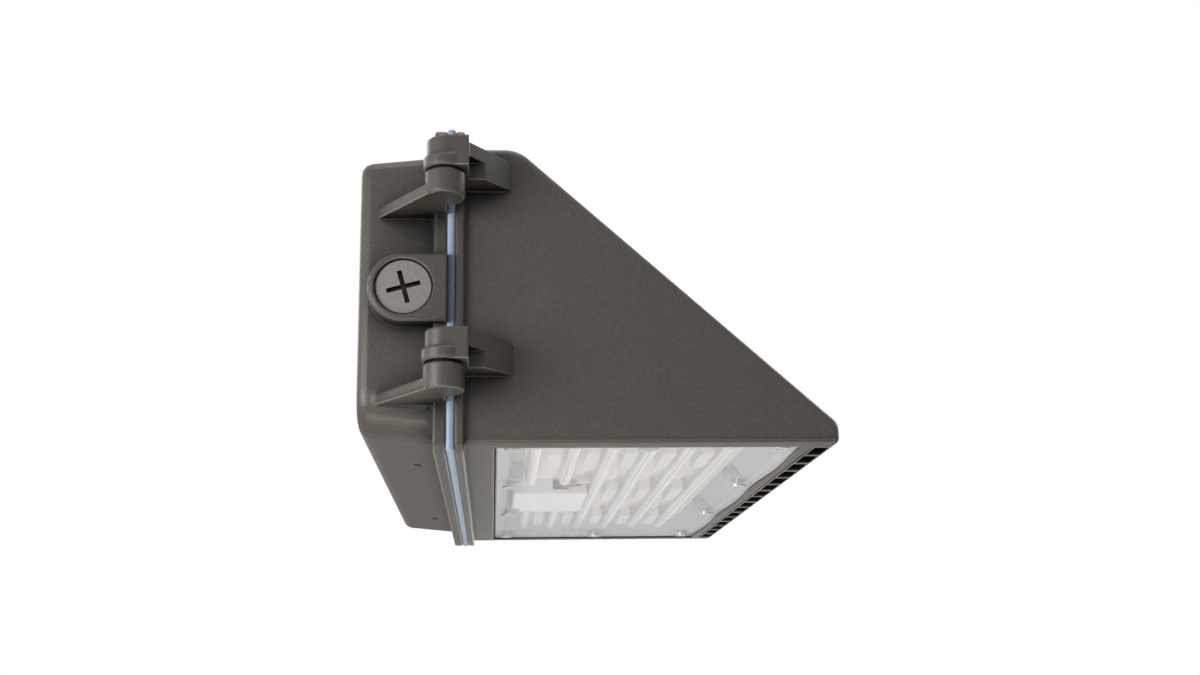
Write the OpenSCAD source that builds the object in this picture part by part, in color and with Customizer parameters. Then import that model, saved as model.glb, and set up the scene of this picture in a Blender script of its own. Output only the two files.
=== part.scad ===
// Full cutoff LED wall pack light. A die-cast wiring box stays on the wall, and a die-cast
// lamp housing with the lens in its underside swings open on two knuckle hinges.
// X runs along the wall, +Z is up and the front looks towards -Y.
// The origin is the middle of the flange height and width, on the wall face.

/* [Overall] */
// Width of the flanges
body_w = 362; // [340:1:390]
// Height of the flanges
flange_h = 154.6; // [150:0.2:164]
// Depth from the wall to the front lip
body_depth = 219.5; // [214:0.5:226]
// Depth from the wall to the front of the box flange
box_depth = 41; // [38:0.2:50]

/* [Wall box] */
// Flange edge to the side wall of the box
box_side_inset = 6.1; // [4:0.1:9]
// Flange top edge to the top of the box
box_top_inset = 9.5; // [7:0.1:14]
// Flange bottom edge to the underside of the box
box_bottom_inset = 7.3; // [5:0.1:10]
// How far the top and the underside close in towards the wall
box_draft = 4; // [1:0.5:7]
// Radius of the upper corners of the box
box_corner_r = 8; // [6:0.5:12]
// Radius of the lower corners of the box
box_foot_r = 17; // [6:0.5:20]
// Rounding between the wall face and the sides
box_rear_r = 5; // [2:0.5:7]
// Wall of the box
box_wall = 3.5; // [2.5:0.1:5]
// Thickness of the box flange
box_flange_t = 6; // [4:0.1:8]
// Corner radius of both flanges
flange_corner_r = 5; // [3:0.5:10]
// Chamfer on the flange edges
flange_chamfer = 0.7; // [0.3:0.1:1.2]

/* [Conduit entries] */
// Diameter of the threaded entry and its plug
entry_d = 26.6; // [20:0.1:28]
// Radius of the pad around the entry
pad_r = 16.4; // [15.4:0.1:18]
// Depth from the wall to the middle of the entry
entry_depth = 21.5; // [20:0.1:24]
// Height of the entries from the middle of the flange
entry_z = -2; // [-6:0.5:4]
// How far the pad stands off the side wall
pad_proud = 10.1; // [8:0.1:13]
// Rounding on the edge of the pad
pad_fillet = 1.8; // [0.5:0.1:2.2]
// Length of the plug
plug_len = 12; // [8:0.5:13]
// How far the plug sits below the pad
plug_recess = 1.2; // [0.5:0.1:2]
// Length of the driver slots across the plug
slot_len = 15.7; // [10:0.1:18]
// Width of the driver slots
slot_w = 2.2; // [1:0.1:4]
// Depth of the driver slots
slot_depth = 2.5; // [1:0.1:4]
// Turn of the slots as the plug is left
slot_turn = -15; // [-89:1:89]

/* [Hinges] */
// Flange edge to the hinge axis
hinge_out = 19.4; // [17:0.1:24]
// Flange bottom edge to the underside of the lower hinge
hinge_low_in = 22.3; // [16:0.1:28]
// Flange top edge to the top of the upper hinge
hinge_high_in = 16.1; // [12:0.1:24]
// Diameter of the box knuckle
box_knuckle_d = 18.2; // [15:0.1:19]
// Height of the box knuckle
box_knuckle_h = 11.6; // [9:0.1:14]
// Gap between the knuckles, filled by the washer
knuckle_gap = 1.2; // [1:0.1:3]
// Diameter of the door knuckle
door_knuckle_d = 16.7; // [15:0.1:20]
// Height of the door knuckle
door_knuckle_h = 14.2; // [11:0.1:16]
// Diameter of the collar at the foot of the door knuckle
collar_d = 19.7; // [17:0.1:22]
// Height of the collar
collar_h = 5.6; // [3:0.1:8]
// Reach of the square front of the door knuckle from the hinge axis
lug_reach = 10.7; // [9:0.1:13]
// Diameter of the hinge pin
pin_d = 5; // [4:0.1:6]
// Reach of the box gusset back from the hinge axis
gusset_reach = 32; // [26:0.5:34]
// Thickness of the box gusset
gusset_t = 5; // [3:0.1:8]
// Reach of the door arm forward from the hinge axis
arm_reach = 30.6; // [26:0.1:36]
// Thickness of the door arm where it passes the knuckle
arm_t = 6.5; // [4:0.1:9]
// Thickness of the door arm at its root
arm_root_t = 14.4; // [10:0.1:16]
// Length of the deep root, out from the housing side
arm_root_len = 14.4; // [10:0.1:18]

/* [Gasket] */
// Thickness of the gasket between the flanges
gasket_t = 3.7; // [2:0.1:6]
// Width of the gasket
gasket_w = 5.7; // [4:0.1:6]
// Corner radius of the gasket, tighter than the flanges so that its corners show
gasket_corner_r = 1.6; // [1:0.1:4]

/* [Lamp housing] */
// Thickness of the door flange
door_flange_t = 4.3; // [3:0.1:6]
// Flange edge to the side of the housing
house_side_inset = 2.85; // [1.5:0.05:5]
// Flange top edge to the roof
house_top_inset = 8.45; // [5:0.1:12]
// Flange bottom edge to the underside
house_bottom_inset = 3.5; // [1:0.1:5]
// Slope of the front from level
slope_angle = 42.5; // [41:0.5:43]
// Height of the front lip below the slope
lip_h = 9.5; // [7:0.1:12]
// Radius between the roof and the slope
roof_r = 16; // [10:0.5:24]
// Radius between the slope and the lip
lip_r = 7; // [5:0.5:12]
// Fillet along the sides of the housing
side_fillet = 3.2; // [1:0.1:4]
// Radius under the front lip
lip_edge_r = 2.5; // [0.5:0.1:3]
// Wall of the housing
house_wall = 3.2; // [2.5:0.1:4]

/* [Lens] */
// Width of the frame beside the lens opening
lens_frame_side = 9.85; // [8:0.05:12]
// Width of the bar between the flange and the lens opening
lens_frame_rear = 13.5; // [11:0.1:16]
// Width of the bar between the lens opening and the lip
lens_frame_front = 14.7; // [14:0.1:18]
// Thickness of the lens
lens_t = 2.2; // [2:0.1:4]
// How far the lens sits above the underside
lens_recess = 1.3; // [0.5:0.1:2.5]
// Wave of the lens front edge between its screws
lens_wave = 0.9; // [0:0.1:1.2]
// Diameter of the lens screw heads
lens_head_d = 8.6; // [7:0.1:9]

/* [Vents] */
// Number of pockets along the front
vent_count = 16; // [8:1:18]
// Side of the housing to the first pocket
vent_side = 11.9; // [8:0.1:30]
// Width of the rib between two pockets
vent_rib = 3.5; // [2:0.1:6]
// Depth of one pocket from back to front
vent_len = 7.3; // [5:0.1:8]
// Height of one pocket
vent_h = 13.3; // [8:0.1:14]
// Wall in front of the pockets
vent_wall = 2; // [1.5:0.1:3]

/* [Light engine] */
// Thickness of the reflector tray
tray_t = 1; // [0.8:0.1:1.6]
// Gap from the frame opening to the end of the board
engine_gap = 9.5; // [9.2:0.1:30]
// Height of the tray above its rim
tray_h = 9.7; // [9.5:0.1:13]
// Number of optic bars
bar_count = 6; // [5:1:6]
// Gap between two optic bars
bar_gap = 4.2; // [3:0.1:7]
// Width of the lens rib on the bar
bar_rib_w = 6; // [4:0.1:7]
// Height of one optic bar
bar_h = 8.6; // [6:0.1:8.8]
// Length of the wire cover
cover_len = 73; // [60:1:73]
// Thickness of the heat spreader
spreader_t = 3; // [2:0.5:4]
// Length of the driver
driver_len = 170; // [140:1:180]
// Height of the driver
driver_h = 34; // [24:1:36]
// Gap from the driver to the slope of the housing
driver_gap = 4.3; // [2:0.1:12]
// Rear edge of the heat spreader to the driver
driver_back = 24; // [20:0.5:30]

/* [Closing screws] */
// Diameter of the screw thread
screw_d = 5; // [4:0.1:6]
// Distance between the two screws
screw_pitch = 90; // [70:1:110]
// Length of the threaded end
thread_len = 8.5; // [7:0.1:8.7]

/* [Hidden] */
// Colours
bronze = "#4b4742";
silicone = "#a9bcc8";
zinc = "#8b8682";
stainless = "#b9bbbd";
white_paint = "#e6e7e6";
clear = "#dfe6ea";
nylon_black = "#1d1d1d";

// Overruns of cuts and joints between solids
over = 1;
// Clearances
thread_clear = 0.15;
pin_clear = 0.05;
washer_clear = 0.08;
lens_clear = 0.3;
lens_rear_gap = 1.2;
screw_hole_clear = 0.1;
captive_clear = 0.45;
seat_clear = 0.3;
// Segments on round corners
arc_n = 5;
roof_n = 10;
lip_n = 6;
fillet_n = 3;
pad_n = 12;
sharp_r = 0.3;

// Places along Y, counted from the wall
y_face = -box_depth;
y_door = y_face - gasket_t;
y_house = y_door - door_flange_t;
y_lip = -body_depth;
// Places along Z
z_top = flange_h / 2;
z_bot = -flange_h / 2;
box_z1 = z_top - box_top_inset;
box_z0 = z_bot + box_bottom_inset;
box_mid_z = (box_z0 + box_z1) / 2;
house_z1 = z_top - house_top_inset;
house_z0 = z_bot + house_bottom_inset;
// Half widths
half_w = body_w / 2;
box_hw = half_w - box_side_inset;
box_in_hw = box_hw - box_wall;
house_hw = half_w - house_side_inset;
house_in_hw = house_hw - house_wall;
pad_x = box_hw + pad_proud;

// Side profile of the housing as corners: depth, height, radius, segments
lip_top_z = house_z0 + lip_h;
roof_y = y_lip + (house_z1 - lip_top_z) / tan(slope_angle);
house_corners = [
    [y_door, house_z0, sharp_r, 1],
    [y_door, house_z1, sharp_r, 1],
    [roof_y, house_z1, roof_r, roof_n],
    [y_lip, lip_top_z, lip_r, lip_n],
    [y_lip, house_z0, lip_edge_r, 2]
];

// Lens opening, lens and ledge
open_hw = house_hw - lens_frame_side;
open_y0 = y_house - lens_frame_rear;
open_y1 = y_lip + lens_frame_front;
lens_z0 = house_z0 + lens_recess;
lens_z1 = lens_z0 + lens_t;
rim_gap = 0.8;
rim_t = 1.2;
ledge_z0 = lens_z1 + rim_gap + rim_t;
ledge_t = 3;
ledge_z1 = ledge_z0 + ledge_t;
ledge_side = 10.8;
ledge_rear = 6;
ledge_front = 5.3;
in_hw = open_hw - ledge_side;
in_y0 = open_y0 - ledge_rear;
in_y1 = open_y1 + ledge_front;
// Lens screws stand on a grid of four columns and three rows
screw_edge = 8;
screw_row_in = 9;
screw_x_share = 1 / 3;
lens_screw_x = open_hw - screw_edge;
lens_screw_y0 = open_y0 - screw_row_in;
lens_screw_y1 = open_y1 + screw_row_in - screw_hole_clear;
lens_screws = [
    for (s = [-1, 1], r = [0, 0.5, 1])
        [s * lens_screw_x, lens_screw_y0 + r * (lens_screw_y1 - lens_screw_y0)],
    for (s = [-1, 1], r = [0, 1])
        [s * lens_screw_x * screw_x_share, lens_screw_y0 + r * (lens_screw_y1 - lens_screw_y0)]
];
lens_screw_d = 4;
lens_head_t = 0.9;
lens_screw_len = 12.6;
post_d = 9;
post_h = 6;
block_w = 11;
block_in = 5.6;
wave_len = 2 * lens_screw_x * screw_x_share;
wave_step = 6;

// Pockets
vent_span = 2 * (house_hw - vent_side);
vent_w = (vent_span - (vent_count - 1) * vent_rib) / vent_count;
vent_y0 = y_lip + vent_wall + vent_len;
groove_w = 0.9;
groove_depth = 1.4;
groove_gap = 1.1;
vent_roof_wall = 2.2;
cavity_front = open_y1 - house_wall;

// Light engine, from the rim up
rim_z0 = ledge_z0 - rim_t;
tray_z1 = rim_z0 + tray_h + tray_t;
board_t = 1.6;
board_z1 = tray_z1 - tray_t;
board_z0 = board_z1 - board_t;
chip = 2.8;
chip_t = 0.7;
chip_count = 14;
bar_end = 4;
engine_len = 2 * (in_hw - engine_gap);
bar_len = engine_len - 2 * bar_end;
bar_foot = 1.6;
bar_plate_t = 2.4;
bar_air = 1.1;
bar_rear = 3.6;
bar_n = 8;
chip_row = bar_rib_w / 2 + bar_foot + chip;
board_edge = 0.5;
tray_slope = 7.5;
front_slope = 9;
board_y0 = lens_screw_y0 - block_in - 2 * seat_clear - tray_t;
bar_y0 = board_y0 - board_edge - bar_rear;
board_y1 = in_y1 + 4 * seat_clear + tray_t + front_slope;
bar_pitch = (bar_y0 - board_y1 - board_edge + bar_rear + bar_gap) / bar_count;
bar_front = bar_pitch - bar_rear - bar_gap;
cover_t = 1.2;
cover_gap = 3;
cover_wire_gap = 28;
cover_r = 2;
cover_side = 2.5;
cover_x_share = -0.0405;
cover_rows = 2;
cover_y0 = lens_screw_y0 - cover_side;
cover_y1 = bar_y0 - cover_rows * bar_pitch + bar_rear + seat_clear;
cover_x0 = cover_x_share * engine_len;
cover_x1 = cover_x0 + cover_len;
cover_h = 8.5;
cover_notch = 9;
clip_w_share = 0.49;
clip_x_share = 0.753;
clip_w = clip_w_share * (bar_pitch - bar_rib_w);
clip_len = 40;
clip_h = 5.4;
clip_x = clip_x_share * bar_len / 2;
spreader_z0 = tray_z1;
spreader_z1 = spreader_z0 + spreader_t;
spreader_side = 4;
spreader_rear = 9;
spreader_front = 8;
post_in = 9;
spreader_hw = house_in_hw - spreader_side;
spreader_y0 = in_y0 - spreader_rear;
spreader_y1 = in_y1 + spreader_front;
post_x = house_in_hw - post_in;
post_rows_share = [0.22, 0.78];
fix_d = 3;
fix_head_d = 6;
fix_head_t = 1.8;

// Driver on its bracket
bracket_t = 1.5;
driver_tab = 13;
driver_tab_t = 1.5;
driver_r = 3;
driver_z0 = spreader_z1 + bracket_t;
driver_y1 = y_lip + (driver_z0 + driver_h - lip_top_z) / tan(slope_angle) + house_wall / sin(slope_angle) + driver_gap;
driver_y0 = spreader_y0 - driver_back;
grommet_d = 9;
grommet_lip = 2;
grommet_lip_t = 1.2;
grommet_bore = 5.4;
grommet_in = [21, -17];
grommet_x = cover_x0 + grommet_in[0];
grommet_y = cover_y0 + grommet_in[1];

// Closing screws on the side away from the hinges
ear_r = 8;
ear_out = 6;
ear_x = half_w + ear_out;
box_ear_t = 10;
door_ear_t = 9.7;
neck_d = 4;
neck_hole_d = 4.6;
neck_wall = 3.7;
ear_fit_d = screw_d + 2 * captive_clear;
screw_start = 1.1;
head_flange_d = 10;
head_flange_t = 1.2;
head_af = 8;
head_h = 4.2;
head_slot_w = 1.2;
head_slot_depth = 1.6;

// Hinge
hinge_x = -half_w - hinge_out;
hinge_y = y_face + seat_clear;
knuckle_edge = 0.7;
pin_floor = 3;
pin_roof = 2;
door_knuckle_z = box_knuckle_h + knuckle_gap;
hinge_h = door_knuckle_z + door_knuckle_h;
hinge_low_z = z_bot + hinge_low_in;
hinge_pitch = z_top - hinge_high_in - hinge_h - hinge_low_z;
washer_d = 14;
washer_bore = 5.4;
arm_root_edge = -half_w + house_side_inset - arm_root_len;

// Fixing holes in the wall face
mount_hole_d = 6.5;
mount_in = [31.4, 26.9];
mount_x = box_in_hw - mount_in[0];
mount_z = (box_z1 - box_z0) / 2 - mount_in[1];
wire_entry_d = 22.2;
wire_entry_rise = 30;
weep_d = 5;
weep_share = 0.56;
weep_x = weep_share * box_hw;
weep_y = -23.8;
ground_share = 0.355;
ground_rise = 40;
ground_x = ground_share * box_hw;
ground_z = box_z0 + ground_rise;
ground_post_d = 9;
ground_post_h = 4;
ground_head_d = 8;
ground_head_t = 2.6;

// Route of the two leads from the board, through the grommet, to the end of the driver
lead_d = 1.6;
lead_gap = 2;
// Under the board from the middle of the grommet, then over the plate, then from the driver's rear corner
lead_under = [
    [-33, -22, -3], [-29, -19, -3.9], [-25, -14, -3.9], [-22, -10, -3.9], [-15, -8, -3.9],
    [-7, -5, -4], [-1, -1, -2], [0, 0, 2], [0, 0, 8]
];
lead_over = [[-2, 1, 8.4], [-10, 1, 11.4]];
lead_driver = [
    [35, 11.5, 9.9], [1, 11.5, 9.9], [-10, 4.5, 10.9], [-10, -14.5, 11.9], [-7, -24.5, 11.9], [-1, -26.5, 11.9]
];
lead_route = concat(
    [for (p = lead_under) p + [grommet_x, grommet_y, board_z0]],
    [for (p = lead_over) p + [grommet_x, grommet_y, spreader_z1]],
    [for (p = lead_driver) p + [-driver_len / 2, driver_y0, driver_z0]]
);
lead_step = 3;
lead_sides = 8;
plug_block = [9, 7, 5];

// Corners of a convex outline moved inwards by d, each corner [x, y, radius, segments]
function inset_corners(c, d) = [
    for (i = [0 : len(c) - 1])
        let (
            n = len(c),
            p = c[(i + n - 1) % n],
            v = c[i],
            q = c[(i + 1) % n],
            e1 = unit([v[0] - p[0], v[1] - p[1]]),
            e2 = unit([q[0] - v[0], q[1] - v[1]]),
            n1 = [-e1[1], e1[0]],
            n2 = [-e2[1], e2[0]],
            m = d / (1 + n1 * n2) * (n1 + n2)
        )
        [v[0] + m[0], v[1] + m[1], max(v[2] - d, sharp_r), v[3]]
];

function unit(v) = v / norm(v);

// Outline with each corner turned into an arc
function round_corners(c) = [
    for (i = [0 : len(c) - 1])
        let (
            n = len(c),
            p = c[(i + n - 1) % n],
            v = [c[i][0], c[i][1]],
            q = c[(i + 1) % n],
            u = unit([p[0], p[1]] - v),
            w = unit([q[0], q[1]] - v),
            half = acos(u * w) / 2,
            mid = v + unit(u + w) * c[i][2] / sin(half),
            from = v + u * c[i][2] / tan(half) - mid,
            turn = 180 - 2 * half
        )
        for (k = [0 : c[i][3]])
            let (a = turn * k / c[i][3])
            mid + [from[0] * cos(a) - from[1] * sin(a), from[0] * sin(a) + from[1] * cos(a)]
];

// Corners of a rectangle, anticlockwise, with one radius
function rect_corners(x0, x1, y0, y1, r, n = arc_n) = [
    [x0, y0, r, n], [x1, y0, r, n], [x1, y1, r, n], [x0, y1, r, n]
];

// Skin through closed sections that have the same number of points
module loft(sections) {
    n = len(sections[0]);
    last = len(sections) - 1;
    polyhedron(
        points = [for (s = sections, p = s) p],
        faces = [
            [for (j = [0 : n - 1]) j],
            [for (j = [0 : n - 1]) last * n + n - 1 - j],
            for (i = [0 : last - 1], j = [0 : n - 1])
                let (a = i * n + j, b = i * n + (j + 1) % n)
                each [[a, a + n, b + n], [a, b + n, b]]
        ],
        convexity = 4
    );
}

// Extrusions along each axis; y runs from the wall outwards
module along_x(x0, x1) {
    translate([x0, 0, 0]) rotate([90, 0, 90]) linear_extrude(x1 - x0) children();
}

module along_y(y0, y1) {
    translate([0, y0, 0]) rotate([90, 0, 0]) linear_extrude(y0 - y1) children();
}

module along_z(z0, z1) {
    translate([0, 0, z0]) linear_extrude(z1 - z0) children();
}

module rect(x0, x1, y0, y1, r = 0) {
    if (r > 0)
        polygon(round_corners(rect_corners(x0, x1, y0, y1, r)));
    else
        translate([x0, y0]) square([x1 - x0, y1 - y0]);
}

// Round bar along Y or X, from one place to the next
module rod_y(d, x, z, y0, y1, fn = 32) {
    translate([x, y0, z]) rotate([90, 0, 0]) cylinder(d = d, h = y0 - y1, $fn = fn);
}

module rod_z(d, x, y, z0, z1, fn = 32) {
    translate([x, y, z0]) cylinder(d = d, h = z1 - z0, $fn = fn);
}

module rod_x(d, y, z, x0, x1, fn = 48) {
    translate([x0, y, z]) rotate([0, 90, 0]) cylinder(d = d, h = x1 - x0, $fn = fn);
}

// Flange outline at a depth, chamfered on both faces
function flange_section(y, d) = [
    for (p = round_corners(inset_corners(rect_corners(-half_w, half_w, z_bot, z_top, flange_corner_r), d)))
        [p[0], y, p[1]]
];

module flange_block(y0, y1) {
    c = flange_chamfer;
    loft([flange_section(y0, c), flange_section(y0 - c, 0), flange_section(y1 + c, 0), flange_section(y1, c)]);
}

// Corners of the box, closed in from the top and the underside
function box_corners(closing) = [
    [-box_hw, box_z0 + closing, box_foot_r, arc_n], [box_hw, box_z0 + closing, box_foot_r, arc_n],
    [box_hw, box_z1 - closing, box_corner_r, arc_n], [-box_hw, box_z1 - closing, box_corner_r, arc_n]
];

// Wall box shell: rounded at the wall, drafted out to the flange
function box_section(y, d) =
    let (share = 1 + y / (box_depth - box_flange_t), closing = box_draft * max(share, 0))
    [
        for (p = round_corners(inset_corners(box_corners(closing), d)))
            [p[0], y, p[1]]
    ];

module box_shell() {
    r = box_rear_r;
    loft([
        for (k = [0 : fillet_n])
            let (a = 90 * k / fillet_n)
            box_section(-r * (1 - cos(a)), r * (1 - sin(a))),
        box_section(y_face + box_flange_t / 2, 0)
    ]);
}

// Section of the pad around a side entry: round towards the wall, square at the flange
function pad_section(x, d) =
    let (y = pad_r - d - entry_depth, z0 = entry_z - pad_r + d, z1 = entry_z + pad_r - d, r = pad_r - d - seat_clear)
    [for (p = round_corners([[y, z0, r, pad_n], [y, z1, r, pad_n], [y_face, z1, sharp_r, 1], [y_face, z0, sharp_r, 1]]))
        [x, p[0], p[1]]];

// Pad on one side of the box, its outer edge rounded
module entry_pad(side) {
    rim = [
        for (k = [0 : fillet_n])
            let (a = 90 * k / fillet_n)
            [pad_x - pad_fillet * (1 - cos(a)), pad_fillet * (1 - sin(a))]
    ];
    if (side < 0)
        loft([for (q = rim) pad_section(-q[0], q[1]), pad_section(-box_in_hw, 0)]);
    else
        loft([pad_section(box_in_hw, 0), for (k = [fillet_n : -1 : 0]) pad_section(rim[k][0], rim[k][1])]);
}

// Point where a line from p touches a circle; side picks which of the two
function touch(p, c, r, side) =
    let (d = p - c, a = atan2(d[1], d[0]) + side * acos(r / norm(d)))
    c + r * [cos(a), sin(a)];

// Knuckle with softened edges
module knuckle(d, z0, h) {
    r = d / 2;
    e = knuckle_edge;
    translate([hinge_x, hinge_y, z0])
        rotate_extrude($fn = 64)
            polygon([[0, 0], [r - e, 0], [r, e], [r, h - e], [r - e, h], [0, h]]);
}

// Web from the box knuckle back to the side wall of the box
module box_gusset(z0) {
    r = box_knuckle_d / 2;
    tip = [-box_hw, hinge_y + gusset_reach];
    t = touch(tip, [hinge_x, hinge_y], r, 1);
    inner = box_hw - box_wall / 2;
    along_z(z0, z0 + gusset_t)
        polygon([tip, t, [hinge_x, hinge_y], [hinge_x, y_face], [-inner, y_face], [-inner, tip[1]]]);
}

// Lug that joins the box knuckle to the flange over its full height
module box_lug(z0) {
    along_z(z0, z0 + box_knuckle_h)
        rect(hinge_x, -box_hw, y_face, y_face + box_flange_t);
}

// Door arm: a high web from the knuckle to the housing, deeper at its root
module door_arm(z0) {
    r = door_knuckle_d / 2;
    tip = [-house_hw, hinge_y - arm_reach];
    t = touch(tip, [hinge_x, hinge_y], r, -1);
    inner = house_hw - house_wall / 2;
    z1 = z0 + hinge_h;
    outline = [t, tip, [-inner, tip[1]], [-inner, y_door], [hinge_x, y_door], [hinge_x, hinge_y]];
    along_z(z1 - arm_t, z1) polygon(outline);
    intersection() {
        along_z(z1 - arm_root_t, z1) polygon(outline);
        along_z(z1 - arm_root_t, z1) rect(arm_root_edge, -inner, tip[1] - over, y_door);
    }
    along_z(z1 - door_knuckle_h, z1) rect(hinge_x - r, hinge_x + r, hinge_y - lug_reach, hinge_y);
}

// Ear for a closing screw, out from the flange edge
module ear(z, y0, y1) {
    along_y(y0, y1) {
        translate([ear_x, z]) circle(r = ear_r, $fn = 48);
        rect(half_w - flange_corner_r, ear_x, z - ear_r, z + ear_r);
    }
}

module back_box() {
    color(bronze)
    difference() {
        union() {
            box_shell();
            flange_block(y_face + box_flange_t, y_face);
            for (s = [-1, 1])
                entry_pad(s);
            for (z = [hinge_low_z, hinge_low_z + hinge_pitch]) {
                knuckle(box_knuckle_d, z, box_knuckle_h);
                box_gusset(z);
                box_lug(z);
            }
            for (s = [-1, 1])
                ear(s * screw_pitch / 2, y_face + box_ear_t, y_face);
        }
        difference() {
            along_y(-box_wall, y_face - over)
                polygon(round_corners(inset_corners(box_corners(box_draft - box_wall / 2), box_wall)));
            rod_y(ground_post_d, ground_x, ground_z, 0, -box_wall - ground_post_h);
        }
        for (s = [-1, 1])
            rod_x(entry_d + 2 * thread_clear, -entry_depth, entry_z,
                s > 0 ? box_in_hw - over : -pad_x - over, s > 0 ? pad_x + over : -box_in_hw + over);
        for (z = [hinge_low_z, hinge_low_z + hinge_pitch])
            rod_z(pin_d, hinge_x, hinge_y, z + pin_floor, z + box_knuckle_h + over);
        for (s = [-1, 1])
            rod_y(ear_fit_d, ear_x, s * screw_pitch / 2, y_face + box_ear_t + over, y_face - over);
        for (sx = [-1, 1], sz = [-1, 1])
            rod_y(mount_hole_d, sx * mount_x, box_mid_z + sz * mount_z, over, -box_wall - over);
        rod_y(wire_entry_d, 0, box_mid_z + wire_entry_rise, over, -box_wall - over, 64);
        rod_y(lens_screw_d + 2 * screw_hole_clear, ground_x, ground_z, -box_wall, -box_wall - ground_post_h - over);
        for (s = [-1, 1])
            rod_z(weep_d, s * weep_x, weep_y, box_z0 - over, box_z0 + box_draft + box_wall + over);
    }
}

module box_gasket() {
    color(silicone)
    along_y(y_face, y_door)
        difference() {
            rect(-half_w, half_w, z_bot, z_top, gasket_corner_r);
            rect(-half_w + gasket_w, half_w - gasket_w, z_bot + gasket_w, z_top - gasket_w, gasket_corner_r);
        }
}

// Threaded plug with a cross of driver slots; side is -1 at the hinges
module entry_plug(side) {
    x1 = pad_x - plug_recess;
    color(zinc)
    difference() {
        rod_x(entry_d, -entry_depth, entry_z, side > 0 ? x1 - plug_len : -x1, side > 0 ? x1 : plug_len - x1);
        for (a = [0, 90])
            translate([side * x1, -entry_depth, entry_z])
                rotate([slot_turn + a, 0, 0])
                    cube([2 * slot_depth, slot_w, slot_len], center = true);
    }
}

module hinge_pin(z0) {
    color(stainless)
    rod_z(pin_d, hinge_x, hinge_y, z0 + pin_floor, z0 + hinge_h - pin_roof - pin_clear);
}

module hinge_washer(z0) {
    z = z0 + box_knuckle_h;
    color(nylon_black)
    difference() {
        rod_z(washer_d, hinge_x, hinge_y, z, z + knuckle_gap - washer_clear, 48);
        rod_z(washer_bore, hinge_x, hinge_y, z - over, z + knuckle_gap + over);
    }
}

// Screw with a slotted round head, its head at y and pointing to the front
module ground_screw() {
    y = -box_wall - ground_post_h;
    color("#2f7d4a")
    difference() {
        union() {
            rod_y(ground_head_d, ground_x, ground_z, y, y - ground_head_t);
            rod_y(lens_screw_d, ground_x, ground_z, y + ground_post_h, y);
        }
        translate([ground_x, y - ground_head_t, ground_z])
            cube([ground_head_d + over, ground_head_t, head_slot_w], center = true);
    }
}

// Outside of the housing: its side profile, filleted towards both ends
function house_section(x, d) = [
    for (p = round_corners(inset_corners(house_corners, d))) [x, p[0], p[1]]
];

module house_shell() {
    f = side_fillet;
    loft([
        for (k = [0 : fillet_n])
            let (a = 90 * k / fillet_n)
            house_section(-house_hw + f * (1 - cos(a)), f * (1 - sin(a))),
        for (k = [fillet_n : -1 : 0])
            let (a = 90 * k / fillet_n)
            house_section(house_hw - f * (1 - cos(a)), f * (1 - sin(a)))
    ]);
}

// Space inside the housing, open to the wall box
module house_cavity() {
    inner = inset_corners(house_corners, house_wall);
    vent_top = house_z0 + vent_h + vent_roof_wall;
    slope_y = inner[3][0] + (vent_top - inner[3][1]) / tan(slope_angle);
    along_x(-house_in_hw, house_in_hw)
        polygon(round_corners([
            [y_door + over, ledge_z1, sharp_r, 1],
            [y_door + over, inner[1][1], sharp_r, 1],
            [inner[2][0], inner[2][1], roof_r - house_wall, roof_n],
            [min(slope_y, cavity_front - sharp_r), vent_top, sharp_r, 1],
            [cavity_front, ledge_z1, sharp_r, 1]
        ]));
    along_x(-house_in_hw, house_in_hw)
        rect(y_house - lens_frame_rear + house_wall, y_door + over, house_z0 + house_wall, ledge_z1 + over);
}

// Outline of the lens opening, grown by g; its front edge waves between the screws
function lens_outline(g, rear) =
    let (
        hw = open_hw + g,
        n = ceil(2 * hw / wave_step)
    )
    concat(
        [[hw, open_y0 + rear], [-hw, open_y0 + rear]],
        [
            for (k = [0 : n])
                let (x = -hw + 2 * hw * k / n)
                [x, open_y1 - g - lens_wave * cos(360 * x / wave_len)]
        ]
    );

// Opening of the ledge, with a block left at each middle screw
module ledge_opening(g = 0) {
    difference() {
        rect(-in_hw - g, in_hw + g, in_y1 - g, in_y0 + g);
        for (sx = [-1, 1]) {
            x = sx * lens_screw_x * screw_x_share;
            rect(x - block_w / 2 + g, x + block_w / 2 - g, lens_screw_y0 - block_in + g, in_y0 + g + over);
            rect(x - block_w / 2 + g, x + block_w / 2 - g, in_y1 - g - over, lens_screw_y1 + block_in - g);
        }
    }
}

// One ventilation pocket, its front wall following the outside of the slope
module vent_pocket(x) {
    z1 = house_z0 + vent_h;
    inner = inset_corners(house_corners, vent_wall);
    front = inner[3][0];
    bend = inner[3][1];
    top_y = front + (z1 - bend) / tan(slope_angle);
    along_x(x, x + vent_w)
        polygon([
            [vent_y0, house_z0 - over], [vent_y0, z1], [min(top_y, vent_y0 - sharp_r), z1],
            [front, bend], [front, house_z0 - over]
        ]);
}

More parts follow.
